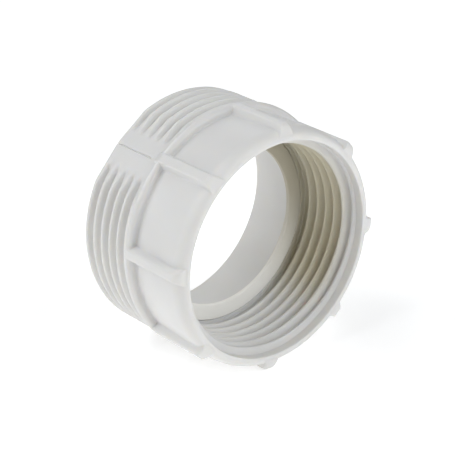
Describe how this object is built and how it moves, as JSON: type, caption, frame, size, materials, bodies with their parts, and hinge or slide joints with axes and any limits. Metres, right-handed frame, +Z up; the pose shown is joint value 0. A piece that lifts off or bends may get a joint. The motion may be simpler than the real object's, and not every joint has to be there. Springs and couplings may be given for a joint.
{
  "type": "threaded reducing pipe coupler",
  "caption": "White moulded plastic pipe coupler: a ribbed socket with an inside pipe thread and a sealing washer on its seat, and a shorter male end with an outside pipe thread",
  "frame": {"origin": "centre of the socket's mouth, on the fitting's axis", "axes": "+X is the fitting's axis and points out of the socket's mouth; the male end points along -X; the fitting lies on its side with +Z up and +Y across"},
  "size_m": [0.0294, 0.0486, 0.0486],
  "materials": {
    "white_plastic": "satin moulded polypropylene",
    "cream_rubber": "smooth matt elastomer"
  },
  "bodies": {
    "coupler": {"adaptor_body": "white_plastic"},
    "washer": {"sealing_washer": "cream_rubber"}
  },
  "joints": [
    {"name": "washer_lift", "type": "slide", "parent": "coupler", "child": "washer", "axis": [1, 0, 0], "range_m": [0, 0.025]}
  ]
}
